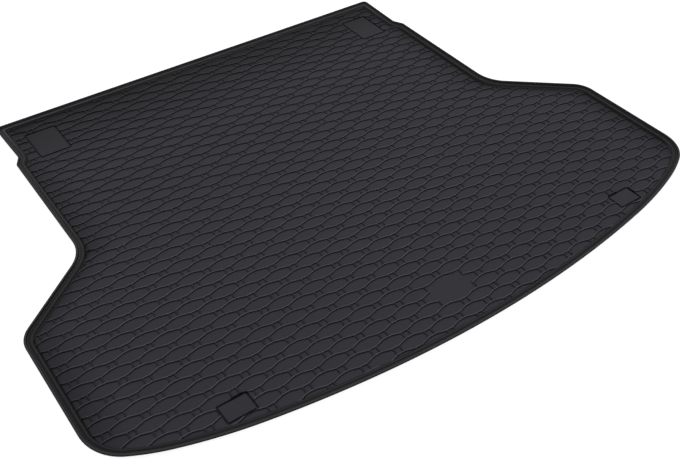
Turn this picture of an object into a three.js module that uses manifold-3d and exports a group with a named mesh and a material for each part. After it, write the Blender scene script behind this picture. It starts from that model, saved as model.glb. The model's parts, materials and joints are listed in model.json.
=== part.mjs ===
import * as THREE from 'three';
import { mergeVertices } from 'three/addons/utils/BufferGeometryUtils.js';
import Module from 'manifold-3d';

// Moulded rubber liner for the boot of an estate car: one tray with a low stepped rim.
// The rim follows the boot: bowed at the sill, wide behind the wheel arches, narrow between them.
// Millimetres. +X right, +Y towards the seats, +Z up, origin under the middle of the tray.

// Plan, from the sill edge backwards and from the seat edge forwards
const depth = 1047;
const widthBehindArches = 1380;
const widthBetweenArches = 1034;
const widthAtNotch = 1008;
const widthAtSeats = 1016;
const sillToArch = 425.5;
const archLength = 143;
const seatsToNotch = 129.5;
const notchLength = 23;
const archOuterRadius = 55;
const archInnerRadius = 80;
const notchRadius = 14;
const seatCornerRadius = 11;
const smallestInnerRadius = 5;

// The sill edge is a chain of tangent arcs. A long bow, its radius worked out from the width, runs
// from the middle to the first heading below, and these arcs take the edge round into the side.
const bowHeading = 10.5;
const bowSteps = 3;
const sillArcs = [
  { radius: 960, toHeading: 19.3, steps: 2 },
  { radius: 400, toHeading: 29.7, steps: 2 },
  { radius: 88, toHeading: 90, steps: 5 },
];
const archSteps = 4;
const notchSteps = 2;
const seatSteps = 3;

// Section
const floorThickness = 3;
const wall = 3;
const rimHeight = 12;
const lipWidth = 4;
const lipEdgeHeight = 3.2;
const channelDepth = 3.6;
const channelWidth = 3;
const ledgeOuter = 11;
const ledgeInner = 15.2;
const ledgeHeight = 9.2;
const riserFoot = 19;

// Tread: wavy ribs, next ones in opposite phase, so that they close to long cells
const treadHalfPeriod = 34.3;
const treadPitch = 20.88;
const treadRowY = -4.3;
const waveHeight = 2.7;
const ribWidth = 3.4;
const ribHeight = 2;
const ribEndGap = 0.4;

// Plain panels framed by a groove, to be cut out for the lashing eyes, and the bare field.
// The middle of each is placed from the nearest edges.
const panels = [
  { x: widthAtNotch / 2 - 76, y: depth / 2 - 100.5, width: 72, length: 98 },
  { x: widthBehindArches / 2 - 232, y: 93.5 - depth / 2, width: 60, length: 43 },
];
const panelCornerRadius = 5;
const grooveWidth = 2.2;
const grooveDepth = 1.1;
const bareField = { y: 101.5 - depth / 2, width: 82, length: 34 };

const wasm = await Module();
wasm.setup();

const toSolid = (geometry) => {
  geometry.deleteAttribute('normal');
  geometry.deleteAttribute('uv');
  const merged = mergeVertices(geometry, 1e-4);
  return new wasm.Manifold(new wasm.Mesh({
    numProp: 3,
    vertProperties: new Float32Array(merged.attributes.position.array),
    triVerts: new Uint32Array(merged.index.array),
  }));
};

const toGeometry = (solid) => {
  const { vertProperties, triVerts, numProp } = solid.getMesh();
  const points = [];
  for (let i = 0; i < vertProperties.length; i += numProp) {
    points.push(vertProperties[i], vertProperties[i + 1], vertProperties[i + 2]);
  }
  const geometry = new THREE.BufferGeometry();
  geometry.setAttribute('position', new THREE.Float32BufferAttribute(points, 3));
  geometry.setIndex([...triVerts]);
  geometry.computeVertexNormals();
  return geometry;
};

// Closed body through rings of equal length, with a flat cap on the first and the last ring
const loft = (rings, cap) => {
  const n = rings[0].length;
  const index = [];
  for (let k = 0; k + 1 < rings.length; k++) {
    for (let i = 0; i < n; i++) {
      const a = k * n + i;
      const b = k * n + (i + 1) % n;
      index.push(a, b, b + n, a, b + n, a + n);
    }
  }
  const last = (rings.length - 1) * n;
  for (const [a, b, c] of cap) {
    index.push(c, b, a, last + a, last + b, last + c);
  }
  const geometry = new THREE.BufferGeometry();
  geometry.setAttribute('position', new THREE.Float32BufferAttribute(rings.flat(2), 3));
  geometry.setIndex(index);
  return geometry;
};

// Rounded corner at the meeting of three plan points, turning left at a positive turn
const roundCorner = (before, corner, after, radius, steps) => {
  const arriving = corner.clone().sub(before).normalize();
  const leaving = after.clone().sub(corner).normalize();
  const turn = Math.atan2(arriving.cross(leaving), arriving.dot(leaving));
  const reach = radius * Math.tan(Math.abs(turn) / 2);
  const side = Math.sign(turn);
  const start = corner.clone().addScaledVector(arriving, -reach);
  const normal = new THREE.Vector2(-arriving.y, arriving.x).multiplyScalar(side);
  const centre = start.clone().addScaledVector(normal, radius);
  return Array.from({ length: steps + 1 }, (_, i) =>
    start.clone().rotateAround(centre, turn * i / steps));
};

// Meeting point of two plan lines, each moved to its left by an inset
const insetMeeting = (a, b, c, inset) => {
  const first = b.clone().sub(a).normalize();
  const second = c.clone().sub(b).normalize();
  const sine = first.cross(second);
  const shift = inset * (1 - first.dot(second)) / sine;
  return b.clone()
    .addScaledVector(first, -shift)
    .add(new THREE.Vector2(-first.y, first.x).multiplyScalar(inset));
};

// Right-hand half of the sill edge, moved inwards
const sillEdge = (inset) => {
  const radians = THREE.MathUtils.degToRad;
  const headings = [bowHeading, ...sillArcs.map(({ toHeading }) => toHeading)].map(radians);
  const arcRun = sillArcs.reduce((run, { radius }, i) =>
    run + radius * (Math.sin(headings[i + 1]) - Math.sin(headings[i])), 0);
  const bowRadius = (widthBehindArches / 2 - arcRun) / Math.sin(headings[0]);
  const chain = [{ radius: bowRadius, steps: bowSteps }, ...sillArcs];
  const points = [];
  let x = 0;
  let y = -depth / 2;
  let heading = 0;
  chain.forEach(({ radius, steps }, k) => {
    const turn = headings[k] - heading;
    for (let i = 1; i <= steps; i++) {
      const angle = heading + turn * i / steps;
      points.push(new THREE.Vector2(
        x + radius * (Math.sin(angle) - Math.sin(heading)) - inset * Math.sin(angle),
        y + radius * (Math.cos(heading) - Math.cos(angle)) + inset * Math.cos(angle),
      ));
    }
    x += radius * (Math.sin(headings[k]) - Math.sin(heading));
    y += radius * (Math.cos(heading) - Math.cos(headings[k]));
    heading = headings[k];
  });
  return { points, end: new THREE.Vector2(x, y) };
};

// Whole outline moved inwards, counter-clockwise, with the same count of points at every inset
const outline = (inset) => {
  const sill = sillEdge(inset);
  const archY = sillToArch - depth / 2;
  const notchY = depth / 2 - seatsToNotch;
  const corners = [
    [widthBehindArches / 2, archY, archOuterRadius, archSteps],
    [widthBetweenArches / 2, archY + archLength, archInnerRadius, archSteps],
    [widthBetweenArches / 2, notchY - notchLength, notchRadius, notchSteps],
    [widthAtNotch / 2, notchY, notchRadius, notchSteps],
    [widthAtSeats / 2, depth / 2, seatCornerRadius, seatSteps],
  ];
  const path = [
    sill.end,
    ...corners.map(([x, y]) => new THREE.Vector2(x, y)),
    new THREE.Vector2(0, depth / 2),
  ];
  const moved = path.map((point, i) => (i === 0 || i === path.length - 1)
    ? point.clone()
    : insetMeeting(path[i - 1], point, path[i + 1], inset));
  moved[0].x -= inset;
  moved[moved.length - 1].y -= inset;
  const half = [...sill.points];
  corners.forEach(([, , radius, steps], i) => {
    const [before, corner, after] = moved.slice(i, i + 3);
    const left = corner.clone().sub(before).cross(after.clone().sub(corner)) > 0;
    const rounded = left ? Math.max(radius - inset, smallestInnerRadius) : radius + inset;
    half.push(...roundCorner(before, corner, after, rounded, steps));
  });
  const mirrored = half.map((point) => new THREE.Vector2(-point.x, point.y)).reverse();
  return [new THREE.Vector2(0, inset - depth / 2), ...half, ...mirrored];
};

const ring = (inset, z) => outline(inset).map(({ x, y }) => [x, y, z]);

// The riser keeps its wall: its back is the sloping face moved outwards by the wall's thickness
const riserRun = riserFoot - ledgeInner;
const riserRise = ledgeHeight - floorThickness;
const riserBack = (z) => riserFoot - (z - floorThickness) * riserRun / riserRise
  - wall * Math.hypot(riserRun, riserRise) / riserRise;

// Section of tray and rim, from the floor's underside round the lip to the floor's top
const section = [
  [riserBack(0), 0],
  [riserBack(ledgeHeight - wall), ledgeHeight - wall],
  [lipWidth + channelWidth / 2, rimHeight - channelDepth - wall],
  [lipWidth - 1, rimHeight - lipEdgeHeight],
  [0, rimHeight - lipEdgeHeight],
  [0.5, rimHeight],
  [lipWidth, rimHeight],
  [lipWidth + 1.2, rimHeight - channelDepth],
  [lipWidth + 1.2 + channelWidth, rimHeight - channelDepth],
  [ledgeOuter, ledgeHeight],
  [ledgeInner, ledgeHeight],
  [riserFoot, floorThickness],
];
const cap = THREE.ShapeUtils.triangulateShape(outline(riserFoot), []);
const tray = toSolid(loft(section.map(([inset, z]) => ring(inset, z)), cap));

// One straight-sided block over an outline given in plan
const block = (points, bottom, top) => {
  const geometry = new THREE.ExtrudeGeometry(new THREE.Shape(points), {
    depth: top - bottom,
    bevelEnabled: false,
  });
  return toSolid(geometry.translate(0, 0, bottom));
};

const rectangle = (x, y, width, length, radius, steps) => {
  const corners = [[1, -1], [1, 1], [-1, 1], [-1, -1]].map(([sx, sy]) =>
    new THREE.Vector2(x + sx * width / 2, y + sy * length / 2));
  return corners.flatMap((corner, i) =>
    roundCorner(corners[(i + 3) % 4], corner, corners[(i + 1) % 4], radius, steps));
};

// A rib is a roof-shaped bar along X, its foot sunk into the floor
const sunk = 0.6;
const ribFoot = ribWidth / 2 * (ribHeight + sunk) / ribHeight;
const rib = (row) => {
  const y = treadRowY + (row + 0.5) * treadPitch;
  const reach = Math.ceil(widthBehindArches / 2 / treadHalfPeriod);
  const rings = [];
  for (let m = -reach; m <= reach; m++) {
    const x = m * treadHalfPeriod;
    const crest = y + ((m + row) % 2 === 0 ? -waveHeight : waveHeight);
    rings.push([
      [x, crest - ribFoot, floorThickness - sunk],
      [x, crest + ribFoot, floorThickness - sunk],
      [x, crest, floorThickness + ribHeight],
    ]);
  }
  return toSolid(loft(rings, [[0, 1, 2]]));
};

const inside = depth / 2 - riserFoot - waveHeight - ribWidth;
const ribs = [];
for (let row = Math.ceil((-inside - treadRowY) / treadPitch - 0.5); ; row++) {
  if (treadRowY + (row + 0.5) * treadPitch > inside) break;
  ribs.push(rib(row));
}
let tread = wasm.Manifold.compose(ribs)
  .intersect(block(outline(riserFoot + ribEndGap), 0, rimHeight))
  .subtract(block(rectangle(0, bareField.y, bareField.width, bareField.length, 0.5, 1), 0, rimHeight));

let liner = tray;
for (const { x, y, width, length } of panels) {
  for (const side of [-1, 1]) {
    const outer = rectangle(side * x, y, width, length, panelCornerRadius, 2);
    const inner = rectangle(side * x, y, width - 2 * grooveWidth, length - 2 * grooveWidth,
      panelCornerRadius - grooveWidth, 1);
    const frame = block(outer, floorThickness - grooveDepth, rimHeight)
      .subtract(block(inner, 0, rimHeight + 1));
    tread = tread.subtract(block(outer, 0, rimHeight));
    liner = liner.subtract(frame);
  }
}
liner = liner.add(tread);

const rubber = new THREE.MeshStandardMaterial({
  color: 0x3a393e,
  roughness: 0.72,
  metalness: 0,
  flatShading: true,
});
const body = new THREE.Mesh(toGeometry(liner), rubber);
body.name = 'boot_liner';

const group = new THREE.Group();
group.add(body);

export default group;
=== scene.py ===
import json
import math

import bpy
from mathutils import Matrix, Vector

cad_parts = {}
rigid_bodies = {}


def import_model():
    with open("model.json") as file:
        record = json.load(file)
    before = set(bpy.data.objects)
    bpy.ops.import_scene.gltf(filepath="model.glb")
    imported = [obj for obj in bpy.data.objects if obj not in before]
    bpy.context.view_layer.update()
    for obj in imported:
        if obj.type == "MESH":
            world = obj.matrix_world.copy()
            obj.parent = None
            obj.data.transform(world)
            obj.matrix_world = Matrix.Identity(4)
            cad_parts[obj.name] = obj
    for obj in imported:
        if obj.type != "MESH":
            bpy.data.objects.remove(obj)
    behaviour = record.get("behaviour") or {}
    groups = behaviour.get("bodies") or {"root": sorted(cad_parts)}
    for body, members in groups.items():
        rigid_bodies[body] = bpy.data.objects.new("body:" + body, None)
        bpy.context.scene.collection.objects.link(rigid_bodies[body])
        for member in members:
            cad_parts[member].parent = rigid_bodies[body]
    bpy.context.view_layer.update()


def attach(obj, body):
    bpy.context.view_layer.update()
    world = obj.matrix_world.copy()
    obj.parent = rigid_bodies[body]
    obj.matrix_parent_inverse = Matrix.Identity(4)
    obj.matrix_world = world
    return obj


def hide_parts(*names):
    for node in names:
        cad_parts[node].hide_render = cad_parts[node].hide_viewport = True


for unused in list(bpy.data.objects):
    bpy.data.objects.remove(unused)

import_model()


# Boot liner
# One tray of charcoal rubber that covers the load floor of an estate car. It is moulded in one go:
# a stepped rim all round, a wavy tread that keeps luggage from sliding, four panels framed by a
# groove, to be cut out for lashing eyes, and a smooth bare field near the sill.

# Sizes are in millimetres.
MM = 0.001
DEPTH = 1047.0
HALF_WIDTH = 690.0
# The sill's edge, from the middle outwards: the heading in degrees where the long bow ends, then each
# arc's radius, the heading where it ends, and its steps
BOW_HEADING = 10.5
BOW_STEPS = 14
SILL_ARCS = ((960.0, 19.3, 8), (400.0, 29.7, 6), (88.0, 90.0, 14))
# The right side's corners, from the sill to the seats: X, Y and radius
CORNERS = (
    (HALF_WIDTH, -98.0, 55.0),
    (517.0, 45.0, 80.0),
    (517.0, 371.0, 14.0),
    (504.0, 394.0, 14.0),
    (508.0, DEPTH / 2, 11.0),
)
CORNER_STEPS = 8
SMALLEST_RADIUS = 5.0


def cross(a, b):
    return a.x * b.y - a.y * b.x


def round_corner(before, corner, after, radius, steps):
    arriving = (corner - before).normalized()
    leaving = (after - corner).normalized()
    turn = math.atan2(cross(arriving, leaving), arriving.dot(leaving))
    start = corner - arriving * radius * math.tan(abs(turn) / 2)
    side = 1 if turn > 0 else -1
    centre = start + Vector((-arriving.y, arriving.x)) * side * radius
    spoke = start - centre
    return [centre + Matrix.Rotation(turn * i / steps, 2) @ spoke for i in range(steps + 1)]


def inset_meeting(a, b, c, inset):
    first = (b - a).normalized()
    second = (c - b).normalized()
    shift = inset * (1 - first.dot(second)) / cross(first, second)
    return b - first * shift + Vector((-first.y, first.x)) * inset


def outline(inset):
    points = [Vector((0, inset - DEPTH / 2))]
    x, y, heading = 0.0, -DEPTH / 2, 0.0
    arcs = [(radius, math.radians(angle), steps) for radius, angle, steps in SILL_ARCS]
    start = math.radians(BOW_HEADING)
    run = 0.0
    for radius, target, _ in arcs:
        run += radius * (math.sin(target) - math.sin(start))
        start = target
    bow = math.radians(BOW_HEADING)
    arcs.insert(0, ((HALF_WIDTH - run) / math.sin(bow), bow, BOW_STEPS))
    for radius, target, steps in arcs:
        for i in range(1, steps + 1):
            angle = heading + (target - heading) * i / steps
            px = x + radius * (math.sin(angle) - math.sin(heading)) - inset * math.sin(angle)
            py = y + radius * (math.cos(heading) - math.cos(angle)) + inset * math.cos(angle)
            points.append(Vector((px, py)))
        x += radius * (math.sin(target) - math.sin(heading))
        y += radius * (math.cos(heading) - math.cos(target))
        heading = target
    path = [Vector((x, y))] + [Vector(c[:2]) for c in CORNERS] + [Vector((0, DEPTH / 2))]
    moved = [path[0] - Vector((inset, 0))]
    moved += [inset_meeting(*path[i : i + 3], inset) for i in range(len(path) - 2)]
    moved.append(path[-1] - Vector((0, inset)))
    for i, (_, _, radius) in enumerate(CORNERS):
        before, corner, after = moved[i : i + 3]
        left = cross(corner - before, after - corner) > 0
        rounded = max(radius - inset, SMALLEST_RADIUS) if left else radius + inset
        points += round_corner(before, corner, after, rounded, CORNER_STEPS)
    return points + [Vector((-p.x, p.y)) for p in reversed(points[1:])]


def rectangle(x, y, width, length, radius, steps):
    corners = [
        Vector((x + sx * width / 2, y + sy * length / 2))
        for sx, sy in ((1, -1), (1, 1), (-1, 1), (-1, -1))
    ]
    points = []
    for i, corner in enumerate(corners):
        points += round_corner(corners[i - 1], corner, corners[(i + 1) % 4], radius, steps)
    return points


def loft(rings):
    count = len(rings[0])
    points = [Vector(p) * MM for ring in rings for p in ring]
    faces = []
    for k in range(len(rings) - 1):
        for i in range(count):
            a, b = k * count + i, k * count + (i + 1) % count
            faces.append((a, b, b + count, a + count))
    last = (len(rings) - 1) * count
    faces.append(tuple(reversed(range(count))))
    faces.append(tuple(range(last, last + count)))
    return points, faces


def mesh_object(name, bodies, shown=True):
    points, faces = [], []
    for body_points, body_faces in bodies:
        faces += [tuple(i + len(points) for i in face) for face in body_faces]
        points += body_points
    mesh = bpy.data.meshes.new(name)
    mesh.from_pydata(points, [], faces)
    mesh.update()
    obj = bpy.data.objects.new(name, mesh)
    if shown:
        bpy.context.scene.collection.objects.link(obj)
    return obj


def prism(points, bottom, top):
    return loft([[(p.x, p.y, z) for p in points] for z in (bottom, top)])


def add_node(tree, kind, settings=None, **inputs):
    node = tree.nodes.new(kind)
    for name, value in (settings or {}).items():
        setattr(node, name, value)
    for name, value in inputs.items():
        key = int(name[1:]) if name[0] == "i" and name[1:].isdigit() else name.replace("_", " ")
        socket = node.inputs[key]
        if isinstance(value, bpy.types.NodeSocket):
            tree.links.new(value, socket)
        else:
            socket.default_value = value
    return node


def math_node(tree, operation, *values):
    node = tree.nodes.new("ShaderNodeMath")
    node.operation = operation
    for socket, value in zip(node.inputs, values):
        if isinstance(value, bpy.types.NodeSocket):
            tree.links.new(value, socket)
        else:
            socket.default_value = value
    return node.outputs[0]


# The tread: the floor's top, half a wave's length, the rows' spacing, and the middle row's Y
FLOOR = 3.0
HALF_PERIOD = 34.3
PITCH = 20.88
ROW_Y = -4.3
# How far ribs and small squares reach from the middle, in half waves, and a rib's steps in each
RIB_REACH = 21
SQUARE_REACH = 22
RIB_STEPS = 4
# Half widths and heights, as shares, from the near foot over the crest; a foot is sunk in the floor
RIB_SECTION = (
    (-1.0, None),
    (-0.88, 0.72),
    (-0.36, 0.97),
    (0.36, 0.97),
    (0.88, 0.72),
    (1.0, None),
)
BAR_SECTION = ((-1.0, None), (-0.85, 0.68), (0.85, 0.68), (1.0, None))


def tread_tree():
    tree = bpy.data.node_groups.new("tread", "GeometryNodeTree")
    made = {}

    def socket(name, kind, value=None):
        item = tree.interface.new_socket(name, in_out="INPUT", socket_type=kind)
        if value is not None:
            item.default_value = value
        made[name] = item.identifier

    tree.interface.new_socket("Geometry", in_out="OUTPUT", socket_type="NodeSocketGeometry")
    socket("Tray", "NodeSocketGeometry")
    socket("Field", "NodeSocketObject")
    socket("Kept bare", "NodeSocketObject")
    socket("Grooves", "NodeSocketObject")
    socket("Rows each way", "NodeSocketInt", 26)
    socket("Half period", "NodeSocketFloat", HALF_PERIOD * MM)
    socket("Pitch", "NodeSocketFloat", PITCH * MM)
    socket("Row place", "NodeSocketFloat", ROW_Y * MM)
    socket("Wave height", "NodeSocketFloat", 2.7 * MM)
    socket("Wave steepness", "NodeSocketFloat", 1.55)
    socket("Rib width", "NodeSocketFloat", 3.4 * MM)
    socket("Rib height", "NodeSocketFloat", 2.4 * MM)
    socket("Sunk", "NodeSocketFloat", 0.6 * MM)
    socket("Floor top", "NodeSocketFloat", FLOOR * MM)
    socket("Bar place", "NodeSocketFloat", 6.7 * MM)
    socket("Bar length", "NodeSocketFloat", 15.6 * MM)
    socket("Material", "NodeSocketMaterial")
    given = tree.nodes.new("NodeGroupInput").outputs

    def node(kind, settings=None, **inputs):
        return add_node(tree, kind, settings, **inputs)

    def calc(operation, *values):
        return math_node(tree, operation, *values)

    def vector(x=0.0, y=0.0, z=0.0):
        return node("ShaderNodeCombineXYZ", X=x, Y=y, Z=z).outputs[0]

    def line(count, start, step):
        return node(
            "GeometryNodeMeshLine",
            {"mode": "OFFSET"},
            Count=count,
            Start_Location=start,
            Offset=step,
        ).outputs[0]

    def spread(points, what):
        placed = node("GeometryNodeInstanceOnPoints", Points=points, Instance=what).outputs[0]
        return node("GeometryNodeRealizeInstances", Geometry=placed).outputs[0]

    # Section of a rib or bar: a ridge whose foot is sunk into the floor. A profile's own +Y sweeps
    # downwards on a level path, so the section is laid upside down. The faces that come out of this
    # point inwards, a known fault.
    half = calc("MULTIPLY", given["Rib width"], -0.5)

    def section(shares):
        loop = node("GeometryNodeMeshCircle", Vertices=len(shares)).outputs[0]
        chosen = tree.nodes.new("GeometryNodeIndexSwitch")
        chosen.data_type = "VECTOR"
        while len(chosen.index_switch_items) < len(shares):
            chosen.index_switch_items.new()
        tree.links.new(tree.nodes.new("GeometryNodeInputIndex").outputs[0], chosen.inputs[0])
        for i, (side, up) in enumerate(shares):
            if up is None:
                height = given["Sunk"]
            else:
                height = calc("MULTIPLY", given["Rib height"], -up)
            tree.links.new(vector(calc("MULTIPLY", half, side), height), chosen.inputs[i + 1])
        loop = node("GeometryNodeSetPosition", Geometry=loop, Position=chosen.outputs[0]).outputs[0]
        return node("GeometryNodeMeshToCurve", Mesh=loop).outputs[0]

    def swept(mesh, shares):
        curve = node("GeometryNodeMeshToCurve", Mesh=mesh).outputs[0]
        curve = node("GeometryNodeSetCurveNormal", {"mode": "Z_UP"}, Curve=curve).outputs[0]
        return node(
            "GeometryNodeCurveToMesh", Curve=curve, Profile_Curve=section(shares), Fill_Caps=True
        ).outputs[0]

    # Rows of points, each row's place known from its Y
    rows = calc("MULTIPLY_ADD", given["Rows each way"], 2.0, 1.0)
    lowest = calc("MULTIPLY", given["Rows each way"], given["Pitch"])
    lowest = calc("SUBTRACT", given["Row place"], lowest)
    between = calc("MULTIPLY_ADD", given["Pitch"], 0.5, lowest)

    def position():
        where = node("GeometryNodeInputPosition").outputs[0]
        return node("ShaderNodeSeparateXYZ", Vector=where).outputs

    def parity_at(first):
        above = calc("SUBTRACT", position()["Y"], first)
        row = calc("ROUND", calc("DIVIDE", above, given["Pitch"]))
        return calc("FLOORED_MODULO", row, 2.0)

    # Wavy ribs: a clamped, softened triangle wave, shifted by half a period in every other row
    step = calc("MULTIPLY", given["Half period"], 1 / RIB_STEPS)
    reach = calc("MULTIPLY", given["Half period"], -RIB_REACH)
    rib_line = line(2 * RIB_REACH * RIB_STEPS + 1, vector(reach), vector(step))
    ribs = spread(line(rows, vector(0.0, between), vector(0.0, given["Pitch"])), rib_line)
    phase = calc("MULTIPLY_ADD", parity_at(between), given["Half period"], position()["X"])
    saw = calc("DIVIDE", calc("PINGPONG", phase, given["Half period"]), given["Half period"])
    steep = calc("MULTIPLY", calc("MULTIPLY_ADD", saw, 2.0, -1.0), given["Wave steepness"])
    clamped = calc("MAXIMUM", calc("MINIMUM", steep, 1.0), -1.0)
    softened = calc("SINE", calc("MULTIPLY", clamped, math.pi / 2))
    shift = vector(0.0, calc("MULTIPLY", softened, given["Wave height"]), given["Floor top"])
    ribs = node("GeometryNodeSetPosition", Geometry=ribs, Offset=shift).outputs[0]
    ribs = swept(ribs, RIB_SECTION)

    # Short bars: two beside each small square
    bar_start = calc("MULTIPLY", given["Bar length"], -0.5)
    bar = line(2, vector(0.0, bar_start, given["Floor top"]), vector(0.0, given["Bar length"]))
    bar = swept(bar, BAR_SECTION)
    pair = node("GeometryNodeJoinGeometry")
    for aside in (given["Bar place"], calc("MULTIPLY", given["Bar place"], -1.0)):
        placed = node("GeometryNodeTransform", Geometry=bar, Translation=vector(aside)).outputs[0]
        tree.links.new(placed, pair.inputs[0])
    period = calc("MULTIPLY", given["Half period"], 2.0)
    start = calc("MULTIPLY", given["Half period"], -SQUARE_REACH)
    squares = line(SQUARE_REACH + 1, vector(start), vector(period))
    squares = spread(line(rows, vector(0.0, lowest), vector(0.0, given["Pitch"])), squares)
    sideways = calc("MULTIPLY", parity_at(lowest), given["Half period"])
    squares = node("GeometryNodeSetPosition", Geometry=squares, Offset=vector(sideways)).outputs[0]
    bars = spread(squares, pair.outputs[0])

    def boolean(operation, first, *others):
        cut = tree.nodes.new("GeometryNodeMeshBoolean")
        cut.operation = operation
        cut.solver = "MANIFOLD"
        if operation == "DIFFERENCE":
            tree.links.new(first, cut.inputs[0])
        else:
            tree.links.new(first, cut.inputs[1])
        for other in others:
            tree.links.new(other, cut.inputs[1])
        return cut.outputs[0]

    def shape(name):
        return node("GeometryNodeObjectInfo", Object=given[name]).outputs["Geometry"]

    lines = boolean("UNION", ribs, bars)
    lines = boolean("INTERSECT", lines, shape("Field"))
    lines = boolean("DIFFERENCE", lines, shape("Kept bare"))
    body = boolean("DIFFERENCE", given["Tray"], shape("Grooves"))
    joined = node("GeometryNodeJoinGeometry")
    tree.links.new(body, joined.inputs[0])
    tree.links.new(lines, joined.inputs[0])
    body = node("GeometryNodeRealizeInstances", Geometry=joined.outputs[0]).outputs[0]
    body = node("GeometryNodeSetMaterial", Geometry=body, Material=given["Material"]).outputs[0]
    out = tree.nodes.new("NodeGroupOutput")
    tree.links.new(body, out.inputs[0])
    return tree, made


# Linear colour of the rubber where it is greyest, in the middle of the floor
CHARCOAL = (0.0262, 0.0248, 0.0322, 1.0)
# Heights above the ground between which a tone comes in, each pair from none of it to all of it
GROOVE_HEIGHTS = (2.8, 2.0)
RAISED_HEIGHTS = (3.2, 4.2)
SHOULDER_HEIGHTS = (4.7, 5.1)
CREST_HEIGHTS = (5.0, 5.3)
CREST_END_HEIGHTS = (6.5, 6.0)
RIM_HEIGHTS = (5.5, 7.5)
FLOOR_TONE_HEIGHTS = (8.8, 6.0)
LEDGE_HEIGHTS = (8.6, 9.0)
BELOW_LIP_HEIGHTS = (10.0, 9.5)
LIP_HEIGHTS = (11.3, 11.8)
# The same as Y, towards the seats or the sill, and as distance from the side edge
SEATS_Y = (270.0, 540.0)
SEATS_LEDGE_Y = (400.0, 500.0)
SILL_Y = (300.0, -150.0)
SIDE_BAND = (90.0, 0.0)
RISER_FOOT_BAND = (23.5, 19.5)
# How much painted shade darkens the rubber in each place, as a share of its tone
SEATS_PAINTED_SHADE = 0.85
SIDE_PAINTED_SHADE = 0.6
RISER_FOOT_PAINTED_SHADE = 0.92
RIM_PAINTED_SHADE = 0.88
RAISED_PAINTED_SHADE = 0.45
GROOVE_PAINTED_SHADE = 0.15
# How much painted highlight lightens the ledge away from the seats and at them, the lip, and the
# crests at the seats and at the sill
LEDGE_PAINTED_HIGHLIGHT = (0.1, 0.8)
LIP_PAINTED_HIGHLIGHT = 0.2
LIP_AS_CREST = 7.0
CREST_PAINTED_HIGHLIGHT = (0.35, 3.0)
# Noise scales, detail and roughness
MOTTLE = (9.0, 4.0, 0.6)
SPECK = (900.0, 2.0, 0.7)
GRAIN = (420.0, 3.0, 0.65)
MOTTLE_CONTRAST = 0.16
SPECK_CONTRAST = 0.5
# Roughness of the surface and depth of its grain in metres
ROUGHNESS = 0.55
MOTTLE_ROUGHER = 0.1
SHOULDER_SMOOTHER = 0.32
RIM_ROUGHER = 0.14
GRAIN_DEPTH = 0.0004
GRAIN_STRENGTH = 0.4
RAISED_GRAIN_LESS = 0.3
SPECULAR_LEVEL = 0.1


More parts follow.
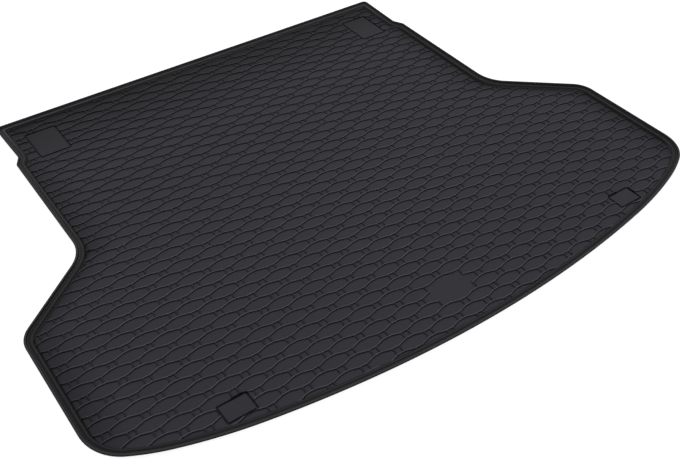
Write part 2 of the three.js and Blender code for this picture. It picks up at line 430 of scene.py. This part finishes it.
def rubber_material():
    material = bpy.data.materials.new("rubber")
    material.use_nodes = True
    tree = material.node_tree
    shader = tree.nodes["Principled BSDF"]
    place = tree.nodes.new("ShaderNodeTexCoord").outputs["Object"]
    x, y, z = add_node(tree, "ShaderNodeSeparateXYZ", Vector=place).outputs

    def calc(operation, *values):
        return math_node(tree, operation, *values)

    def noise(scale, detail, roughness):
        settings = {"Scale": scale, "Detail": detail, "Roughness": roughness}
        return add_node(tree, "ShaderNodeTexNoise", Vector=place, **settings).outputs["Fac"]

    def fade(value, band, low=0.0, high=1.0, kind="SMOOTHSTEP"):
        ends = {"i1": band[0] * MM, "i2": band[1] * MM, "i3": low, "i4": high}
        settings = {"interpolation_type": kind}
        return add_node(tree, "ShaderNodeMapRange", settings, i0=value, **ends).outputs[0]

    # A faint mottling and finer specks
    mottle = noise(*MOTTLE)
    speck = noise(*SPECK)
    tone = calc("MULTIPLY_ADD", mottle, MOTTLE_CONTRAST, 1 - MOTTLE_CONTRAST / 2)
    specks = calc("MULTIPLY_ADD", speck, SPECK_CONTRAST, 1 - SPECK_CONTRAST / 2)
    tone = calc("MULTIPLY", tone, specks)

    # Painted shade: the rubber is darker near the seats and the side edges, which draw in at the wheel
    # arches, and darker still at the riser's foot, though not up on the rim
    (wide_x, wide_y, _), (narrow_x, narrow_y, _) = CORNERS[:2]
    side = fade(y, (wide_y, narrow_y), wide_x * MM, narrow_x * MM, "LINEAR")
    to_side = calc("SUBTRACT", side, calc("ABSOLUTE", x))
    painted_shade = calc(
        "MAXIMUM",
        fade(y, SEATS_Y, high=SEATS_PAINTED_SHADE),
        fade(to_side, SIDE_BAND, high=SIDE_PAINTED_SHADE),
    )
    painted_shade = calc("MAXIMUM", painted_shade, fade(to_side, RISER_FOOT_BAND, high=RISER_FOOT_PAINTED_SHADE))
    painted_shade = calc("MULTIPLY", painted_shade, fade(z, FLOOR_TONE_HEIGHTS))

    # Painted shade makes it blackest on the rim, apart from the ledge and the lip, which carry painted
    # highlights
    on_rim = fade(z, RIM_HEIGHTS)
    ledge = calc("MULTIPLY", fade(z, LEDGE_HEIGHTS), fade(z, BELOW_LIP_HEIGHTS))
    ledge = calc("MULTIPLY", ledge, fade(y, SEATS_LEDGE_Y, *LEDGE_PAINTED_HIGHLIGHT))
    lip = fade(z, LIP_HEIGHTS, high=LIP_PAINTED_HIGHLIGHT)
    rim_painted_shade = calc("SUBTRACT", RIM_PAINTED_SHADE, calc("MAXIMUM", ledge, lip))
    painted_shade = calc("MAXIMUM", calc("MULTIPLY", on_rim, rim_painted_shade), painted_shade)
    tone = calc("MULTIPLY", tone, calc("SUBTRACT", 1.0, painted_shade))
    # Painted shade down in the grooves round the panels, and on anything else as low
    tone = calc("MULTIPLY", tone, fade(z, GROOVE_HEIGHTS, 1.0, GROOVE_PAINTED_SHADE))

    # Painted shade keeps the ribs' sides and the bars black; painted highlights make crests, ledge and
    # lip greyer, most of all towards the sill
    raised = fade(z, RAISED_HEIGHTS)
    tone = calc("MULTIPLY", tone, calc("MULTIPLY_ADD", raised, -RAISED_PAINTED_SHADE, 1.0))
    # Painted highlights on the crests and the lip, strongest towards the sill, and on the ledge at the
    # seats
    crest = calc("MULTIPLY", fade(z, CREST_HEIGHTS), fade(z, CREST_END_HEIGHTS))
    crest = calc("MAXIMUM", crest, calc("MULTIPLY", lip, LIP_AS_CREST))
    painted_highlight = calc("MULTIPLY", crest, fade(y, SILL_Y, *CREST_PAINTED_HIGHLIGHT))
    painted_highlight = calc("MAXIMUM", painted_highlight, ledge)
    tone = calc("MULTIPLY", tone, calc("ADD", painted_highlight, 1.0))
    colour = add_node(tree, "ShaderNodeMix", {"data_type": "RGBA", "blend_type": "MULTIPLY"})
    colour.inputs[0].default_value = 1.0
    colour.inputs[6].default_value = CHARCOAL
    tree.links.new(tone, colour.inputs[7])
    tree.links.new(colour.outputs[2], shader.inputs["Base Color"])

    # The mould's grain on the floor; ribs and rim are smoother
    rough = calc("MULTIPLY_ADD", mottle, MOTTLE_ROUGHER, ROUGHNESS)
    rough = calc("MULTIPLY_ADD", fade(z, SHOULDER_HEIGHTS), -SHOULDER_SMOOTHER, rough)
    rough = calc("MULTIPLY_ADD", on_rim, RIM_ROUGHER, rough)
    tree.links.new(rough, shader.inputs["Roughness"])
    bump = add_node(tree, "ShaderNodeBump", Distance=GRAIN_DEPTH, Height=noise(*GRAIN))
    strength = calc("MULTIPLY_ADD", raised, -RAISED_GRAIN_LESS, GRAIN_STRENGTH)
    tree.links.new(strength, bump.inputs["Strength"])
    tree.links.new(bump.outputs["Normal"], shader.inputs["Normal"])
    shader.inputs["Specular IOR Level"].default_value = SPECULAR_LEVEL
    return material


RUBBER = rubber_material()


# The rim: its wall, the inset of the riser's foot, and how far the riser leans and rises
WALL = 3.0
RISER_FOOT = 19.0
RUN, RISE = 3.8, 6.2


def riser_back(z):
    return RISER_FOOT - (z - FLOOR) * RUN / RISE - WALL * math.hypot(RUN, RISE) / RISE


# Corners of the rim's section: inset from the edge, height and rounding. It starts on the underside,
# goes up behind the riser, round the lip and down to the floor. The first and last only steer it.
SECTION = (
    (riser_back(0.0) + 5.0, 0.0, 0.0),
    (riser_back(0.0), 0.0, 1.2),
    (riser_back(6.2), 6.2, 1.2),
    (5.5, 5.4, 0.8),
    (3.0, 8.8, 0.8),
    (0.0, 8.8, 0.5),
    (0.0, 12.0, 1.2),
    (4.0, 12.0, 1.0),
    (5.2, 8.4, 0.7),
    (8.2, 8.4, 0.7),
    (11.0, 9.2, 1.2),
    (15.2, 9.2, 4.5),
    (RISER_FOOT, FLOOR, 3.0),
    (RISER_FOOT + 5.0, FLOOR, 0.0),
)
BROAD_RADIUS = 2.0
BROAD_STEPS = 4
NARROW_STEPS = 2


def rounded_section():
    corners = [Vector(c[:2]) for c in SECTION]
    points = []
    for i in range(1, len(corners) - 1):
        radius = SECTION[i][2]
        steps = BROAD_STEPS if radius > BROAD_RADIUS else NARROW_STEPS
        points += round_corner(corners[i - 1], corners[i], corners[i + 1], radius, steps)
    return points


rings = [[(p.x, p.y, z) for p in outline(inset)] for inset, z in rounded_section()]
tray = mesh_object("rubber_liner", [loft(rings)])

# The framed panels on the right, with the same on the left: the middle's X and Y, width and length
RIGHT_PANELS = ((428, 423, 72, 98), (458, -430, 60, 43))
PANELS = [(side * x, y, w, h) for side in (-1, 1) for x, y, w, h in RIGHT_PANELS]
PANEL_CORNER = 5.0
PANEL_STEPS = 4
GROOVE = 4.2
GROOVE_DEPTH = 1.8
BARE_FIELD = (0.0, -421.9, 79.4, 54.0)
BARE_CORNER = 0.5
BARE_STEPS = 2
FIELD_INSET = 17.0
# Bottom and top of the solids that trim the ribs, and how far the groove's cutter stands above the
# floor
FIELD_SPAN = (0.5, 11.0)
BARE_SPAN = (0.2, 11.5)
CUTTER_ABOVE = 4.0

field = mesh_object("field", [prism(outline(FIELD_INSET), *FIELD_SPAN)], shown=False)
bare = [prism(rectangle(*panel, PANEL_CORNER, PANEL_STEPS), *BARE_SPAN) for panel in PANELS]
bare.append(prism(rectangle(*BARE_FIELD, BARE_CORNER, BARE_STEPS), *BARE_SPAN))
bare = mesh_object("kept_bare", bare, shown=False)


def groove(x, y, width, length):
    outer = rectangle(x, y, width, length, PANEL_CORNER, PANEL_STEPS)
    inside = (width - 2 * GROOVE, length - 2 * GROOVE, PANEL_CORNER - GROOVE)
    inner = rectangle(x, y, *inside, PANEL_STEPS)
    low = FLOOR - GROOVE_DEPTH
    high = FLOOR + CUTTER_ABOVE
    corners = ((inner, low), (outer, low), (outer, high), (inner, high))
    rings = [[(p.x, p.y, z) for p in ring] for ring, z in corners]
    count = len(outer)
    points = [Vector(p) * MM for ring in rings for p in ring]
    faces = []
    for k in range(4):
        for i in range(count):
            j = (i + 1) % count
            after = (k + 1) % 4
            faces.append((k * count + i, k * count + j, after * count + j, after * count + i))
    return points, faces


grooves = mesh_object("grooves", [groove(*panel) for panel in PANELS], shown=False)
SHARP_ANGLE = 38.0

tree, inputs = tread_tree()
modifier = tray.modifiers.new("tread", "NODES")
modifier.node_group = tree
modifier[inputs["Field"]] = field
modifier[inputs["Kept bare"]] = bare
modifier[inputs["Grooves"]] = grooves
modifier[inputs["Material"]] = RUBBER
bpy.context.view_layer.update()
evaluated = tray.evaluated_get(bpy.context.evaluated_depsgraph_get())
finished = bpy.data.meshes.new_from_object(evaluated)
tray.modifiers.clear()
tray.data = finished
finished.shade_smooth()
finished.set_sharp_from_angle(angle=math.radians(SHARP_ANGLE))
for spare in (field, bare, grooves):
    bpy.data.objects.remove(spare)

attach(tray, "root")
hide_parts("boot_liner")


# Studio floor
# A sheet of white paper under the liner. It shows white to the camera and in reflections, takes a
# faint shadow from the rim, and throws pale light back.


def seen_directly(tree):
    path = tree.nodes.new("ShaderNodeLightPath").outputs
    mirrored = math_node(tree, "MAXIMUM", path["Is Glossy Ray"], path["Is Transmission Ray"])
    return math_node(tree, "MAXIMUM", path["Is Camera Ray"], mirrored)


# How white the sheet is for light that falls on the liner from it, and how white and glowing where it
# is seen
PLAIN_WHITE = (0.8, 0.8, 0.8, 1.0)
SEEN_WHITE = (0.3, 0.3, 0.3, 1.0)
SEEN_GLOW = 0.9


def paper():
    material = bpy.data.materials.new("white_paper")
    material.use_nodes = True
    tree = material.node_tree
    tree.nodes.clear()
    plain = add_node(tree, "ShaderNodeBsdfDiffuse", Color=PLAIN_WHITE).outputs[0]
    shaded = add_node(tree, "ShaderNodeBsdfDiffuse", Color=SEEN_WHITE).outputs[0]
    glow = add_node(tree, "ShaderNodeEmission", Strength=SEEN_GLOW).outputs[0]
    white = add_node(tree, "ShaderNodeAddShader", i0=shaded, i1=glow).outputs[0]
    mix = add_node(tree, "ShaderNodeMixShader", i0=seen_directly(tree), i1=plain, i2=white).outputs[0]
    add_node(tree, "ShaderNodeOutputMaterial", i0=mix)
    return material


# Half the sheet's side and how far it lies below the liner, in metres
FLOOR_REACH = 2.2
FLOOR_DROP = 0.0005
signs = ((-1, -1), (1, -1), (1, 1), (-1, 1))
corners = [(sx * FLOOR_REACH, sy * FLOOR_REACH, -FLOOR_DROP) for sx, sy in signs]
sheet = bpy.data.meshes.new("studio_floor")
sheet.from_pydata(corners, [], [(0, 1, 2, 3)])
sheet.materials.append(paper())
studio_floor = bpy.data.objects.new("studio_floor", sheet)
bpy.context.scene.collection.objects.link(studio_floor)


# Light
# A white room with seven softboxes round and over the liner. The strongest stands on its left, and the
# weakest hangs overhead.

# The room's light on the liner, as a share of how bright the room shows
ROOM_LEVEL = 0.16
LAMP_DISTANCE = 4.0
LAMP_SIZE = 0.8
AIM = (0.0, 0.0, 0.0)
# Turn from +X in degrees, height in degrees, watts
SOFTBOXES = (
    (38.0, 50.0, 24.0),
    (60.0, 60.0, 20.0),
    (85.0, 40.0, 16.0),
    (0.0, 85.0, 9.0),
    (180.0, 50.0, 26.0),
    (240.0, 50.0, 16.0),
    (310.0, 40.0, 24.0),
)

world = bpy.data.worlds.new("white_room")
bpy.context.scene.world = world
world.use_nodes = True
room = world.node_tree
background = room.nodes["Background"]
background.inputs["Color"].default_value = (1.0, 1.0, 1.0, 1.0)
strength = math_node(room, "MULTIPLY_ADD", seen_directly(room), 1.0 - ROOM_LEVEL, ROOM_LEVEL)
room.links.new(strength, background.inputs["Strength"])

for turn, height, watts in SOFTBOXES:
    around, above = math.radians(turn), math.radians(height)
    light = bpy.data.lights.new("softbox", "AREA")
    light.size = LAMP_SIZE
    light.energy = watts
    lamp = bpy.data.objects.new("softbox", light)
    lamp.location = LAMP_DISTANCE * Vector((
        math.cos(around) * math.cos(above),
        math.sin(around) * math.cos(above),
        math.sin(above),
    ))
    lamp.rotation_euler = (Vector(AIM) - lamp.location).to_track_quat("-Z", "Y").to_euler()
    bpy.context.scene.collection.objects.link(lamp)


# Camera
# The photograph's own view, worked out from the regular tread.

AZIMUTH, ELEVATION, ROLL = (math.radians(v) for v in (-35.931, 42.011, 0.5855))
# Place in metres, lens and sensor in millimetres
PLACE = (-0.8588, -1.2593, 1.2076)
LENS = 48.76
SENSOR = 36.0
NEAR_CLIP = 0.05
back = Vector((
    math.sin(AZIMUTH) * math.cos(ELEVATION),
    -math.cos(AZIMUTH) * math.cos(ELEVATION),
    math.sin(ELEVATION),
))
right = Vector((math.cos(AZIMUTH), math.sin(AZIMUTH), 0.0))
up = back.cross(right)
turned_right = right * math.cos(ROLL) + up * math.sin(ROLL)
turned_up = up * math.cos(ROLL) - right * math.sin(ROLL)
lens = bpy.data.cameras.new("camera")
lens.lens = LENS
lens.sensor_width = SENSOR
lens.clip_start = NEAR_CLIP
camera = bpy.data.objects.new("camera", lens)
bpy.context.scene.collection.objects.link(camera)
facing = Matrix((turned_right, turned_up, back)).transposed()
camera.matrix_world = Matrix.Translation(PLACE) @ facing.to_4x4()
bpy.context.scene.camera = camera
bpy.context.scene.view_settings.view_transform = "Standard"
